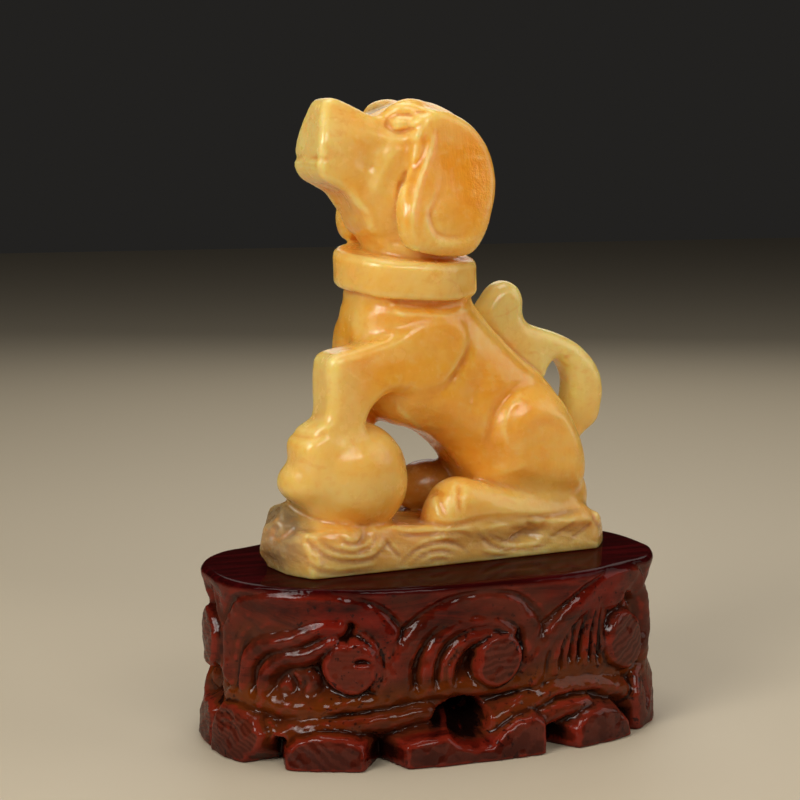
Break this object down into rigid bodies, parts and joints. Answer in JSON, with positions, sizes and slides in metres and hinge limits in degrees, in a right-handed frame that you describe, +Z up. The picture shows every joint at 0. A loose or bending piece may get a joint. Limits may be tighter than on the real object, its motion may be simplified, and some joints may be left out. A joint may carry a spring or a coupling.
{
  "type": "stone animal figurine on carved wood stand",
  "caption": "Seated dog with one forepaw on a ball, carved from yellow stone, resting on an oval carved hardwood stand with flared feet.",
  "frame": {"origin": "middle of the stand's footprint, on the surface it stands on", "axes": "+Z up, +X along the stand towards the dog's tail (the dog looks towards -X), +Y towards the dog's right side"},
  "size_m": [0.1624, 0.104, 0.2147],
  "materials": {
    "jade": "polished, translucent",
    "stand_wood": "dark red stain under gloss lacquer"
  },
  "bodies": {
    "stand": {"carved_wood_stand": "stand_wood"},
    "figurine": {"jade_dog_carving": "jade"}
  },
  "joints": [
    {"name": "figurine_lift", "type": "slide", "parent": "stand", "child": "figurine", "axis": [0, 0, 1], "range_m": [0, 0.05]}
  ]
}
